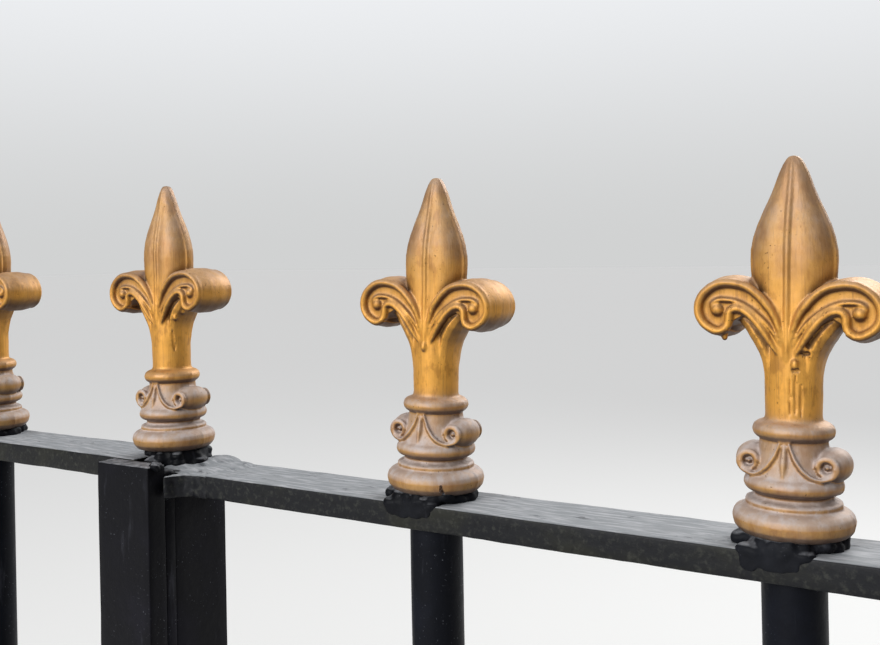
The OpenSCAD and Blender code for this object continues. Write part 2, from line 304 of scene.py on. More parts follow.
def named(name):
    piece = bpy.context.object
    piece.name = name
    piece.data.name = name
    return piece


def join(name, pieces):
    only(*pieces)
    if len(pieces) > 1:
        bpy.ops.object.join()
    return named(name)


def copy_of(piece, name, moved=(0, 0, 0), lean=0.0):
    """A copy with its own mesh, leant to the right and then moved."""
    only(piece)
    bpy.ops.object.duplicate()
    twin = named(name)
    twin.data = twin.data.copy()
    twin.data.transform(Matrix.Translation(moved) @ Matrix.Rotation(lean, 4, "Y"))
    return twin


def apply_modifier(piece, kind, **settings):
    modifier = piece.modifiers.new(kind.lower(), kind)
    for setting, value in settings.items():
        setattr(modifier, setting, value)
    only(piece)
    bpy.ops.object.modifier_apply(modifier=modifier.name)


def mirror(piece, across=(True, True, False)):
    apply_modifier(piece, "MIRROR", use_axis=across, use_mirror_merge=False)


def cut_across(piece, axis, cuts):
    """Cut every edge that runs along an axis into equal lengths."""
    edit(piece, "EDGE")
    bpy.ops.mesh.select_all(action="DESELECT")
    done()
    corners = piece.data.vertices
    for line in piece.data.edges:
        along = corners[line.vertices[0]].co - corners[line.vertices[1]].co
        line.select = abs(along[axis]) > 0.99 * along.length
    bpy.ops.object.mode_set(mode="EDIT")
    bpy.ops.mesh.subdivide(number_cuts=cuts)
    done()


def dent(piece, middle, size, depth):
    """Press the skin in, inside an egg of these half sizes."""
    edit(piece)
    bpy.ops.mesh.select_all(action="DESELECT")
    done()
    for corner in piece.data.vertices:
        away = [(corner.co[axis] / MM - middle[axis]) / size[axis] for axis in (X, Y, Z)]
        corner.select = sum(share * share for share in away) < 1
    bpy.ops.object.mode_set(mode="EDIT")
    bpy.ops.transform.shrink_fatten(value=-depth * MM)
    done()


def cut_away(piece, low, high):
    """Take away what lies between two corners, in millimetres."""
    cutter = block("cutter", Vector(low) * MM, Vector(high) * MM)
    apply_modifier(piece, "BOOLEAN", operation="DIFFERENCE", solver="EXACT", object=cutter)
    bpy.data.objects.remove(cutter)


def fuse(piece, voxel, smoothing):
    """Make one skin of all the shells in a piece, and soften it as thick paint does."""
    apply_modifier(piece, "REMESH", mode="VOXEL", voxel_size=voxel * MM)
    apply_modifier(piece, "SMOOTH", factor=0.5, iterations=smoothing)


def round_edges(piece, width, segments):
    apply_modifier(
        piece, "BEVEL", width=width * MM, segments=segments, limit_method="ANGLE",
        angle_limit=math.radians(40))


def roughen(piece, patterns):
    """Push the skin in and out by cloudy patterns, each of a size and a height in millimetres."""
    for size, height in patterns:
        pattern = bpy.data.textures.new("unevenness", "CLOUDS")
        pattern.noise_scale = size * MM
        pattern.noise_depth = 2
        apply_modifier(
            piece, "DISPLACE", texture=pattern, texture_coords="LOCAL", strength=height * MM, mid_level=0.5)
        bpy.data.textures.remove(pattern)


def thin_out(piece, triangles):
    """Bring a piece down to this many triangles, and take away the few doubled faces that this leaves."""
    piece.data.calc_loop_triangles()
    share = triangles / len(piece.data.loop_triangles)
    if share < 1:
        apply_modifier(piece, "DECIMATE", ratio=share)
    piece.data.validate()


def finish(piece, node, angle=60):
    """Paint a piece, let it ride where its CAD node rides, and let it stand for that node."""
    only(piece)
    bpy.ops.object.shade_smooth_by_angle(angle=math.radians(angle), keep_sharp_edges=False)
    piece.data.materials.clear()
    piece.data.materials.append(PAINTS[SLOTS[node]])
    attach(piece, BODIES[node])
    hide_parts(node)


# Simple shapes, their sizes in millimetres
def point_to_point(name, points):
    """One vertex, extruded from point to point; leaves the piece in edit mode."""
    bpy.ops.object.select_all(action="DESELECT")
    bpy.ops.mesh.primitive_plane_add(size=MM)
    piece = named(name)
    edit(piece)
    bpy.ops.mesh.select_all(action="SELECT")
    bpy.ops.mesh.merge(type="CENTER")
    last = Vector((0, 0, 0))
    for count, point in enumerate(points):
        step = (Vector(point) - last) * MM
        if count == 0:
            bpy.ops.transform.translate(value=step)
        else:
            bpy.ops.mesh.extrude_region_move(TRANSFORM_OT_translate={"value": step})
        last = Vector(point)
    return piece


def turned(name, profile, sides=96):
    """A profile of heights and radii, spun round the upright axis."""
    piece = point_to_point(name, [(radius, 0, z) for z, radius in profile])
    bpy.ops.mesh.select_all(action="SELECT")
    bpy.ops.mesh.spin(steps=sides, angle=math.tau, center=(0, 0, 0), axis=(0, 0, 1))
    bpy.ops.mesh.select_all(action="SELECT")
    bpy.ops.mesh.remove_doubles(threshold=0.02 * MM)
    bpy.ops.mesh.normals_make_consistent(inside=False)
    done()
    return piece


def plate(name, outline, half_depth):
    """An outline in x and z, filled and drawn out both ways along y."""
    piece = point_to_point(name, [(x, 0, z) for x, z in outline])
    bpy.ops.mesh.select_all(action="SELECT")
    bpy.ops.mesh.edge_face_add()
    bpy.ops.mesh.select_mode(type="FACE")
    bpy.ops.mesh.select_all(action="SELECT")
    bpy.ops.transform.translate(value=(0, -half_depth * MM, 0))
    bpy.ops.mesh.extrude_region_move(TRANSFORM_OT_translate={"value": (0, 2 * half_depth * MM, 0)})
    bpy.ops.mesh.select_all(action="SELECT")
    bpy.ops.mesh.normals_make_consistent(inside=False)
    done()
    return piece


def drawn_up(name, levels, sides=48):
    """An oval face, drawn up from level to level: height, half width, half depth and x."""
    z0, wide, deep, x0 = levels[0]
    bpy.ops.object.select_all(action="DESELECT")
    bpy.ops.mesh.primitive_circle_add(vertices=sides, radius=MM, fill_type="NGON")
    piece = named(name)
    edit(piece, "FACE")
    bpy.ops.mesh.select_all(action="SELECT")
    bpy.ops.transform.resize(value=(wide, deep, 1), center_override=(0, 0, 0))
    bpy.ops.transform.translate(value=(x0 * MM, 0, z0 * MM))
    for z, half_wide, half_deep, x in levels[1:]:
        bpy.ops.mesh.extrude_region_move(
            TRANSFORM_OT_translate={"value": ((x - x0) * MM, 0, (z - z0) * MM)})
        bpy.ops.transform.resize(
            value=(half_wide / wide, half_deep / deep, 1), center_override=(x * MM, 0, z * MM))
        z0, wide, deep, x0 = z, half_wide, half_deep, x
    bpy.ops.mesh.select_all(action="SELECT")
    bpy.ops.mesh.normals_make_consistent(inside=False)
    done()
    return piece


def rod(name, points, thickness, stretch=1.0, rounds=3):
    """A round rod along a smooth line of points x, y and z, with one radius or one for each point."""
    curve = bpy.data.curves.new(name, "CURVE")
    curve.dimensions = "3D"
    curve.bevel_depth = MM
    curve.bevel_resolution = rounds
    curve.use_fill_caps = True
    curve.resolution_u = 5
    line = curve.splines.new("BEZIER")
    line.bezier_points.add(len(points) - 1)
    radii = thickness if isinstance(thickness, list) else [thickness] * len(points)
    for knot, point, radius in zip(line.bezier_points, points, radii):
        knot.co = Vector(point) * MM
        knot.radius = radius
        knot.handle_left_type = "AUTO"
        knot.handle_right_type = "AUTO"
    piece = bpy.data.objects.new(name, curve)
    bpy.context.collection.objects.link(piece)
    only(piece)
    bpy.ops.object.convert(target="MESH")
    piece = named(name)
    if stretch != 1.0:
        depth = sum(point[1] for point in points) / len(points) * MM
        edit(piece)
        bpy.ops.mesh.select_all(action="SELECT")
        bpy.ops.transform.resize(value=(1, stretch, 1), center_override=(0, depth, 0))
        done()
    return piece


def ball(name, at, size, segments=24):
    """A ball at x, y, z, stretched to its three half sizes."""
    bpy.ops.object.select_all(action="DESELECT")
    bpy.ops.mesh.primitive_uv_sphere_add(segments=segments, ring_count=segments // 2, radius=MM)
    piece = named(name)
    edit(piece)
    bpy.ops.mesh.select_all(action="SELECT")
    bpy.ops.transform.resize(value=size, center_override=(0, 0, 0))
    bpy.ops.transform.translate(value=Vector(at) * MM)
    done()
    return piece


def block(name, low, high):
    """A plain block between two corners, in metres, as a blank to work on."""
    bpy.ops.object.select_all(action="DESELECT")
    bpy.ops.mesh.primitive_cube_add(size=1)
    piece = named(name)
    edit(piece)
    bpy.ops.mesh.select_all(action="SELECT")
    bpy.ops.transform.resize(value=high - low, center_override=(0, 0, 0))
    bpy.ops.transform.translate(value=(low + high) / 2)
    done()
    return piece


# The finial casting
def front(points, depth, foot=()):
    """Points of a front outline, brought forward; the first few by depths of their own."""
    depths = list(foot) + [depth] * (len(points) - len(foot))
    return [(x, -forward, z) for (x, z), forward in zip(points, depths)]


def leaf_parts():
    lobe = drawn_up("lobe", [
        (z, wide * LOBE_WIDTH, deep, wide * LOBE_SHIFT) for z, wide, deep in LEAF])
    edge = plate("leaf_edge", [(wide, z) for z, wide, deep in LEAF] + LEAF_BACKBONE, LEAF_EDGE)
    ridge = rod("ridge", [(0, -RIDGE_DEPTH * deep, z) for z, wide, deep in LEAF[:-2]], RIDGE_RADII)
    return [lobe, edge, ridge]


def petal_parts():
    body = plate("petal_body", PETAL_FOOT + OUTER_RIM + PETAL_ROOT, PETAL_FACE)
    outer = rod("outer_rim", front(OUTER_RIM, OUTER_DEPTH, RIM_FOOT_DEPTHS), OUTER_RADII, RIM_STRETCH)
    middle = rod("middle_rib", front(MIDDLE_RIB, MIDDLE_DEPTH, RIM_FOOT_DEPTHS), MIDDLE_RADII, RIM_STRETCH)
    lower = rod("lower_rim", front(LOWER_RIM, LOWER_DEPTH, RIM_FOOT_DEPTHS), LOWER_RADII, RIM_STRETCH)
    boss = ball("boss", (BOSS[0], -PETAL_FACE, BOSS[1]), BOSS_SIZE)
    barrel = rod("petal_barrel", front(OUTER_RIM[BARREL_START:], 0), BARREL_RADII, BARREL_STRETCH)
    keel = rod("petal_keel", front(KEEL, 0), KEEL_RADII, KEEL_STRETCH)
    return [body, outer, middle, lower, boss, barrel, keel]


def scroll_parts():
    x, z = SCROLL_AT
    roll = drawn_up("roll", SCROLL_ROLL, 32)
    roll.data.transform(
        Matrix.Translation((x * MM, 0, z * MM)) @ Matrix.Rotation(math.pi / 2, 4, "X"))
    turns = [step * math.tau / EYE_TURNS for step in range(EYE_TURNS + 1)]
    ring = [
        (x + EYE_RADIUS * math.cos(turn), -SCROLL_FACE, z + EYE_RADIUS * math.sin(turn))
        for turn in turns]
    eye_ring = rod("eye_ring", ring, EYE_RIM, EYE_STRETCH)
    eye = ball("eye", (x, -SCROLL_FACE + EYE_SUNK, z), EYE_SIZE, 12)
    band = rod("scroll_band", SCROLL_BAND, BAND_RADII)
    return [roll, eye_ring, eye, band]


def finial_parts():
    """Every part of a casting, still separate shells, in one mesh with its foot at the origin."""
    body = turned("body", BASE)
    edit(body)
    bpy.ops.mesh.select_all(action="SELECT")
    bpy.ops.transform.resize(value=(1, BASE_DEPTH, 1), center_override=(0, 0, 0))
    done()
    seam = [(radius + SEAM_PROUD, z) for z, radius in BASE[1:] if z < SEAM_TOP]
    parting = plate("parting", seam + [(0, SEAM_TOP), (0, 0)], SEAM_HALF_DEPTH)
    quarter = join("quarter", leaf_parts() + petal_parts() + scroll_parts() + [parting])
    mirror(quarter)
    frond = rod("frond", FROND, FROND_RADII)
    mirror(frond, (False, True, False))
    return join("casting_parts", [quarter, frond, body])


def cast(parts, name, extras=()):
    """Fuse the parts into one casting, and roughen it slightly."""
    piece = join(name, [copy_of(parts, name + "_parts")] + list(extras))
    fuse(piece, FINIAL_VOXEL, CAST_SMOOTHING)
    roughen(piece, CAST_SKIN)
    return piece


def near_casting(parts, name):
    """A finer casting with the drops, chips and runs that this finial has."""
    drops = [ball("drop", middle, size) for middle, size in DROPS.get(name, [])]
    casting = cast(parts, name + "_cast", drops)
    for middle, size, depth in MARKS.get(name, []):
        dent(casting, middle, size, depth)
    thin_out(casting, NEAR_TRIANGLES)
    return casting


def row(node, count):
    """The middles of the things in a row along a node, from the meeting line outwards."""
    low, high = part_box(node)
    half = (high.y - low.y) / 2
    if node.endswith("finials") or node == "centre_finial":
        half = FINIAL_HALF_WIDTH * MM
    first, last = low.x + half, high.x - half
    if node.startswith("left"):
        first, last = last, first
    return [
        Vector((first + (last - first) * place / max(count - 1, 1), 0, low.z))
        for place in range(count)]


def place_finials():
    """Set a finial on each of its seats: the near ones finer, the others all from one casting."""
    parts = finial_parts()
    far = cast(parts, "far_casting")
    thin_out(far, FAR_TRIANGLES)
    for node, count in (
            ("left_finials", FINIAL_COUNT), ("right_finials", FINIAL_COUNT), ("centre_finial", 1)):
        for number, place in enumerate(row(node, count), 1):
            name = f"{node}_{number}"
            chance = WOBBLE.uniform(-LEAN_LIMIT, LEAN_LIMIT)
            lean = math.radians(LEANS.get(name, chance))
            if name in NEAR_FINIALS:
                near = near_casting(parts, name)
                piece = copy_of(near, name, place, lean)
                bpy.data.objects.remove(near)
            else:
                piece = copy_of(far, name, place, lean)
            finish(piece, node)
    bpy.data.objects.remove(far)
    bpy.data.objects.remove(parts)


# Bars, stiles and rails
def flat_bar(node, along, cuts, strip, edge=1.2, wave=0.7):
    """A flat bar or box section: cut up, its edges rounded by paint, its faces slightly uneven."""
    low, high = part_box(node)
    bar = block(node + "_worked", low, high)
    for axis in (X, Y, Z):
        if axis == along:
            for count in cuts:
                cut_across(bar, axis, count)
        else:
            cut_across(bar, axis, max(1, round((high - low)[axis] / (strip * MM))))
    round_edges(bar, edge, 3)
    roughen(bar, [(FLAT_WAVE_SIZE, wave), FLAT_FINE])
    finish(bar, node, 50)


def round_bars(node, under, over):
    """The round bars of a node, with a small bead of weld at each end."""
    low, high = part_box(node)
    radius = (high.y - low.y) / 2
    bars = []
    for place in row(node, BAR_COUNT):
        bpy.ops.object.select_all(action="DESELECT")
        bpy.ops.mesh.primitive_cylinder_add(
            vertices=BAR_SIDES, radius=radius, depth=high.z - low.z,
            location=(place.x, 0, (low.z + high.z) / 2))
        bar = named(node + "_bar")
        bpy.ops.object.transform_apply(location=True, rotation=False, scale=False)
        cut_across(bar, Z, BAR_CUTS)
        bars.append(bar)
        for z, size in ((low.z, under), (high.z, over)):
            bars.append(bead_ring(place.x, z, radius / MM, size))
    joined = join(node + "_worked", bars)
    roughen(joined, BAR_SKIN)
    finish(joined, node, 50)


def from_cad(node, edge):
    """A copy of a CAD node, merged, with its sharp edges eased as paint eases them."""
    only(frame["nodes"][node])
    bpy.ops.object.duplicate()
    piece = named(node + "_worked")
    piece.data = piece.data.copy()
    edit(piece)
    bpy.ops.mesh.select_all(action="SELECT")
    bpy.ops.mesh.remove_doubles(threshold=0.005 * MM)
    bpy.ops.mesh.tris_convert_to_quads(face_threshold=0.02, shape_threshold=3.14)
    done()
    round_edges(piece, edge, 2)
    finish(piece, node, 35)


# Welds
def drawn(limits):
    """Numbers drawn at random between each pair of limits; a plain number stays as it is."""
    return [WOBBLE.uniform(*limit) if isinstance(limit, tuple) else limit for limit in limits]


def bead_ring(x, z, radius, size):
    """A bead of weld round a bar, in the ripples that the rod left."""
    points = []
    for step in range(BEAD_STEPS + 1):
        turn = (step % BEAD_STEPS) * math.tau / BEAD_STEPS
        points.append((x / MM + radius * math.cos(turn), radius * math.sin(turn), z / MM))
    radii = [size * WOBBLE.uniform(0.7, 1.25) for point in points]
    return rod("bead", points, radii, rounds=2)


def bead_line(start, end, size):
    """A straight bead of weld between two points."""
    steps = max(2, round((Vector(end) - Vector(start)).length / BEAD_PITCH))
    points = [Vector(start).lerp(Vector(end), step / steps) for step in range(steps + 1)]
    radii = [size * WOBBLE.uniform(0.75, 1.3) for point in points]
    return rod("bead", [tuple(point) for point in points], radii, rounds=2)


def bead_frame(low, high, axis, at, size):
    """Weld all round a bar where it meets a face across this axis; the places are in metres."""
    first, second = [other for other in (X, Y, Z) if other != axis]
    corners = []
    for a, b in ((low, low), (high, low), (high, high), (low, high)):
        corner = [0, 0, 0]
        corner[axis] = at / MM
        corner[first] = a[first] / MM
        corner[second] = b[second] / MM
        corners.append(corner)
    return [bead_line(corner, corners[(place + 1) % 4], size) for place, corner in enumerate(corners)]


def leaf_beads(side):
    """The welds between a leaf's middle and bottom rails and its two stiles."""
    beads = []
    for stile, bars_beyond in (("hinge", side == "left"), ("meeting", side == "right")):
        low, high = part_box(f"{side}_{stile}_stile")
        face = high.x if bars_beyond else low.x
        for rail in ("middle", "bottom"):
            bar_low, bar_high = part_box(f"{side}_{rail}_rail")
            beads += bead_frame(bar_low, bar_high, X, face, RAIL_BEAD)
    finish(join(side + "_rail_beads", beads), side + "_middle_rail")


def foot_bead(side):
    """The weld between a post and its base plate."""
    low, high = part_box(side + "_post")
    plate_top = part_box(side + "_base_plate")[1].z
    beads = bead_frame(low, high, Z, plate_top, FOOT_BEAD)
    finish(join(side + "_foot_bead", beads), side + "_base_plate")


def lump_rings(rings):
    """Balls in rings of radius, height, count and size, each a little out of place."""
    lumps = []
    for radius, z, count, size in rings:
        for place in range(count):
            turn = (place + WOBBLE.uniform(-0.35, 0.35)) * math.tau / count
            out = radius * WOBBLE.uniform(0.93, 1.05)
            lump = size * WOBBLE.uniform(0.75, 1.25)
            lumps.append(ball(
                "lump", (out * math.cos(turn), out * math.sin(turn), z * WOBBLE.uniform(0.8, 1.2)),
                (lump * 1.3, lump * 1.3, lump * 0.8), 12))
    return lumps


def lump_row(count, step, at, size):
    """Balls in a row, a step apart, with a place and half sizes that may be limits to draw between."""
    lumps = []
    for number in range(count):
        place = [start + number * further for start, further in zip(drawn(at), step)]
        lumps.append(ball("lump", place, drawn(size), 12))
    return lumps


def run_together(name, lumps, melt):
    """Lumps of weld melted into each other under thick paint."""
    smoothing, height = melt
    piece = join(name, lumps)
    fuse(piece, WELD_VOXEL, smoothing)
    roughen(piece, [(WELD_LUMP_SIZE, height)])
    return piece


def seat(name):
    """A ragged seat of weld, heaped at the left and run down over the front edge of the rail."""
    lumps = [drawn_up("seat_disc", SEAT_DISC)] + lump_rings(SEAT_RINGS)
    for count, step, at, size in SEAT_ROWS:
        lumps += lump_row(count, step, at, size)
    return run_together(name, lumps, SEAT_MELT)


def place_seats():
    """Set a few kinds of seat in turn under both leaves' finials."""
    kinds = [seat(f"seat_{number}") for number in range(SEAT_KINDS)]
    for side in SIDES:
        node = side + "_finial_seats"
        seats = []
        for number, place in enumerate(row(node, FINIAL_COUNT)):
            seats.append(copy_of(kinds[number % SEAT_KINDS], "seat", place))
        finish(join(node + "_worked", seats), node)
    for kind in kinds:
        bpy.data.objects.remove(kind)


def mound_foot():
    low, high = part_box("centre_collar")
    return Matrix.Translation(((low.x + high.x) / 2, 0, low.z))


def centre_mound():
    """The heap of weld that carries the centre finial, clear of the other leaf's rail."""
    low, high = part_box("centre_collar")
    tall = (high.z - low.z) / MM
    core = drawn_up(
        "core", [(-MOUND_SUNK, 16, 15, 0), (tall * 0.6, 16.5, 15.5, 0), (tall + 1, 15, 14, 0)], 24)
    lumps = [core] + lump_rings([MOUND_RING, (14.4, tall * 0.65, 8, 3.8)])
    mound = run_together("centre_mound", lumps, MOUND_MELT)
    cut_away(mound, *MOUND_FREE)
    mound.data.transform(mound_foot())
    finish(mound, "centre_collar")


def rail_end():
    """The weld smeared over the end of the right rail and into its corner with the cover strip."""
    smears = [ball("smear", middle, size, 16) for middle, size in SMEARS]
    fillet = plate("fillet", CORNER_WELD, CORNER_WELD_HALF)
    fillet.data.transform(
        Matrix.Translation((0, 0, -CORNER_WELD_DROP * MM)) @ Matrix.Rotation(math.pi / 2, 4, "X"))
    weld = run_together("rail_end", smears + [fillet], RAIL_END_MELT)
    weld.data.transform(mound_foot())
    finish(weld, "right_top_rail")


def strip_weld():
    """The ragged weld between the top of the cover strip and the end of the rail."""
    low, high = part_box("cover_strip_weld")
    size = (high - low) / MM
    reach = (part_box("cover_strip")[0].y - low.y) / MM
    lumps = [block("weld_core", Vector((0, 0, 0)), high - low)]
    # A row along the top of the core, then a heap between the core and the strip
    lumps += lump_row(
        9, (size.x / 8, 0, 0), (0, (-1, size.y * 0.7), (size.z - 0.5, size.z + 1.5)),
        ((2, 3.4), (2, 3.2), (1.8, 3)))
    lumps += lump_row(
        7, (0, 0, 0),
        ((size.x * 0.8, size.x * 1.1), (reach * 0.1, reach * 0.75), (size.z + 4, size.z + 5.4)),
        ((1.8, 3), (1.8, 2.6), (1.2, 2.2)))
    weld = run_together("strip_weld", lumps, STRIP_WELD_MELT)
    weld.data.transform(Matrix.Translation(low))
    finish(weld, "cover_strip_weld")


# Finishes
def paint(colour):
    """A colour written as on a paint card, as the linear values that the shader takes."""
    shares = [int(colour[place:place + 2], 16) / 255 for place in (1, 3, 5)]
    return [s / 12.92 if s <= 0.04045 else ((s + 0.055) / 1.055) ** 2.4 for s in shares] + [1]


class Layers:
    """Nodes that are added to a material's or the world's tree, each fed by earlier ones."""

    def __init__(self, tree):
        self.tree = tree

    def add(self, kind, inputs=None, **settings):
        made = self.tree.nodes.new(kind)
        for setting, value in settings.items():
            setattr(made, setting, value)
        for socket, value in (inputs or {}).items():
            self.put(made.inputs[socket], value)
        return made

    def put(self, socket, value):
        if isinstance(value, bpy.types.NodeSocket):
            self.tree.links.new(value, socket)
        else:
            socket.default_value = value

    def step(self, value, low, high, lowest=0.0, highest=1.0):
        return self.add("ShaderNodeMapRange", {
            "Value": value, "From Min": low, "From Max": high, "To Min": lowest,
            "To Max": highest}, interpolation_type="SMOOTHSTEP").outputs[0]

    def combine(self, operation, first, second):
        return self.add("ShaderNodeMath", {0: first, 1: second}, operation=operation).outputs[0]

    def plus(self, first, second):
        return self.combine("ADD", first, second)

    def minus(self, first, second):
        return self.combine("SUBTRACT", first, second)

    def times(self, first, second):
        return self.combine("MULTIPLY", first, second)

    def tint(self, base, colour, share):
        """Lay a colour over the base, as thickly as share says."""
        return self.add("ShaderNodeMix", {0: share, 6: base, 7: colour}, data_type="RGBA").outputs[2]

    def seen(self):
        """1 for what the camera or a reflection looks at, and 0 for the light that falls on things."""
        rays = self.add("ShaderNodeLightPath").outputs
        return self.combine("MAXIMUM", rays["Is Camera Ray"], rays["Is Glossy Ray"])


class Finish(Layers):
    """A material built up layer by layer on the piece's own coordinates."""

    def __init__(self, name):
        self.material = bpy.data.materials.new(name)
        self.material.use_nodes = True
        super().__init__(self.material.node_tree)
        self.shader = self.tree.nodes["Principled BSDF"]
        self.at = self.add("ShaderNodeTexCoord").outputs["Object"]

    def grain(self, size, stretch=(1, 1, 1), detail=4.0, rough=0.55):
        """Cloudy noise of this size in millimetres, drawn out by stretch."""
        at = self.add(
            "ShaderNodeMapping", {"Vector": self.at, "Scale": [1 / along for along in stretch]})
        return self.add("ShaderNodeTexNoise", {
            "Vector": at.outputs[0], "Scale": 1 / (size * MM), "Detail": detail,
            "Roughness": rough}).outputs["Fac"]

    def upward(self):
        normal = self.add("ShaderNodeNewGeometry").outputs["Normal"]
        return self.add("ShaderNodeSeparateXYZ", {0: normal}).outputs["Z"]

    def height(self):
        return self.add("ShaderNodeSeparateXYZ", {0: self.at}).outputs["Z"]

    def crevice(self, reach):
        """1 in the open and towards 0 deep in a hollow."""
        return self.add("ShaderNodeAmbientOcclusion", {"Distance": reach * MM}, samples=8,
                        only_local=True).outputs["AO"]

    def relief(self, height, depth, under=None):
        inputs = {"Height": height, "Strength": 1.0, "Distance": depth * MM}
        if under:
            inputs["Normal"] = under
        return self.add("ShaderNodeBump", inputs).outputs[0]

    def close(self, **sockets):
        """Set the shader's sockets, and hand over the material."""
        names = {"colour": "Base Color", "rough": "Roughness", "metal": "Metallic", "normal": "Normal",
                 "specular": "Specular IOR Level", "glow": "Emission Strength"}
        for key, value in sockets.items():
            self.put(self.shader.inputs[names[key]], value)
        return self.material


def gilt_paint():
    """Gold paint on a casting, with painted light: a painted sheen of brighter gold on the stem, duller
    above, painted shade in brown under it and in hollows, and dust with a painted sky sheen on ledges.
    """
    gilt = Finish("gilt_paint")
    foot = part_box("right_finials")[0].z
    dim, bright, fading, dull = [foot + up * MM for up in STEM_SHEEN_HEIGHTS]
    coat_full, coat_thin = [foot + up * MM for up in DUST_AND_SHEEN_HEIGHTS]
    streaks = gilt.grain(0.7, (1, 1, 40), 3)
    clouds = gilt.grain(14, detail=5)
    blotches = gilt.grain(4, (1, 1, 2), 4, 0.6)
    facing = gilt.upward()
    height = gilt.height()
    colour = gilt.tint(paint("#ad7a3a"), paint("#c79342"), gilt.step(clouds, 0.38, 0.62))
    # Painted sheen: brighter gold on the stem, fading out up the leaf, stands in for the bright
    # surroundings that the stem reflects
    stem = gilt.times(gilt.step(height, dim, bright), gilt.step(height, fading, dull, 1, 0.15))
    colour = gilt.tint(colour, paint("#eaa945"), gilt.times(stem, gilt.step(clouds, 0.3, 0.6, 0.7, 1)))
    colour = gilt.tint(colour, paint("#a06826"), gilt.step(blotches, 0.5, 0.68, 0, 0.5))
    colour = gilt.tint(colour, paint("#80562a"), gilt.step(streaks, 0.5, 0.75, 0, 0.35))
    # Painted shade: brown where the casting faces down and in hollows found by ambient occlusion, where
    # shade falls
    colour = gilt.tint(colour, paint("#38251f"), gilt.step(facing, -0.75, 0, 0.92, 0))
    colour = gilt.tint(colour, paint("#4e3018"), gilt.step(gilt.crevice(7), 0.3, 0.95, 0.85, 0))
    # A pale coat where the casting faces up, partly dust and partly a painted sheen of the sky, thickest on
    # the base and thin on the stem
    dust_and_sheen = gilt.times(gilt.step(facing, -0.15, 0.5, 0.15, 1), gilt.step(blotches, 0.34, 0.6, 1, 0.65))
    dust_and_sheen = gilt.times(dust_and_sheen, gilt.step(height, coat_full, coat_thin, 1, 0.5))
    dust_and_sheen = gilt.times(dust_and_sheen, gilt.minus(1, gilt.times(stem, 0.75)))
    colour = gilt.tint(colour, paint("#d3c4bd"), dust_and_sheen)
    pits = gilt.times(gilt.step(gilt.grain(1.3, detail=2), 0.68, 0.74), gilt.step(clouds, 0.48, 0.56))
    colour = gilt.tint(colour, paint("#4c3117"), gilt.times(pits, 0.7))
    normal = gilt.relief(streaks, 0.10)
    normal = gilt.relief(gilt.grain(0.7, detail=3), 0.06, normal)
    normal = gilt.relief(pits, -0.12, normal)
    rough = gilt.plus(gilt.step(clouds, 0.3, 0.7, 0.46, 0.56), gilt.times(dust_and_sheen, 0.12))
    metal = gilt.minus(0.45, gilt.times(dust_and_sheen, 0.4))
    return gilt.close(colour=colour, rough=rough, metal=metal, normal=normal, specular=0.35)


def worn_black(name, colour, pale, speck=0.5, chalk=0.6):
    """Thick black paint, with faint smears and specks of dust, gone chalky where it faces up."""
    black = Finish(name)
    clouds = black.grain(30, detail=6)
    tone = black.tint(paint(colour), paint(pale), black.step(clouds, 0.45, 0.8, 0, 0.6))
    smear = black.times(black.step(black.grain(9, (1, 1, 6), 5, 0.6), 0.6, 0.74), 0.3)
    tone = black.tint(tone, paint("#55565f"), smear)
    dust = black.times(black.step(black.grain(1.2, detail=2), 0.66, 0.76), speck)
    tone = black.tint(tone, paint("#7c7f88"), black.times(dust, black.step(black.grain(22), 0.42, 0.62)))
    patches = black.step(black.grain(3.5, detail=5, rough=0.6), 0.36, 0.6, 0.4, 1)
    top = black.times(black.step(black.upward(), 0.6, 0.95, 0, chalk), patches)
    tone = black.tint(tone, paint("#b2b4ba"), top)
    normal = black.relief(black.grain(5, detail=4), 0.25)
    normal = black.relief(black.grain(0.8, detail=2), 0.05, normal)
    rough = black.step(clouds, 0.3, 0.7, 0.42, 0.56)
    return black.close(colour=tone, rough=rough, normal=normal, specular=0.1)


def rail_paint():
    """Black paint gone grey and streaky on top, mottled with grime on the edges."""
    rail = Finish("rail_paint")
    patches = rail.grain(26, (1.6, 1, 1), 6, 0.6)
    mottle = rail.grain(3.2, detail=5, rough=0.65)
    side = rail.tint(paint("#15161a"), paint("#2c2c23"), rail.step(patches, 0.42, 0.68, 0, 0.65))
    side = rail.tint(side, paint("#55564f"), rail.step(mottle, 0.48, 0.72, 0, 0.4))
    side = rail.tint(side, paint("#0d0e10"), rail.step(rail.grain(4.5, detail=4), 0.58, 0.68, 0, 0.7))
    streaks = rail.grain(2.0, (9, 1, 1), 5, 0.6)
    top = rail.tint(paint("#9ea2a6"), paint("#c6c8cc"), rail.step(streaks, 0.42, 0.66))
    top = rail.tint(top, paint("#4a4d51"), rail.step(rail.grain(9, (2, 1, 1), 6, 0.7), 0.58, 0.7, 0, 0.8))
    facing_up = rail.step(rail.upward(), 0.55, 0.85)
    colour = rail.tint(side, top, facing_up)
    normal = rail.relief(patches, 0.5)
    normal = rail.relief(mottle, 0.18, normal)
    rough = rail.plus(rail.step(mottle, 0.3, 0.7, 0.42, 0.58), rail.times(facing_up, 0.1))
    return rail.close(colour=colour, rough=rough, normal=normal, specular=0.2)


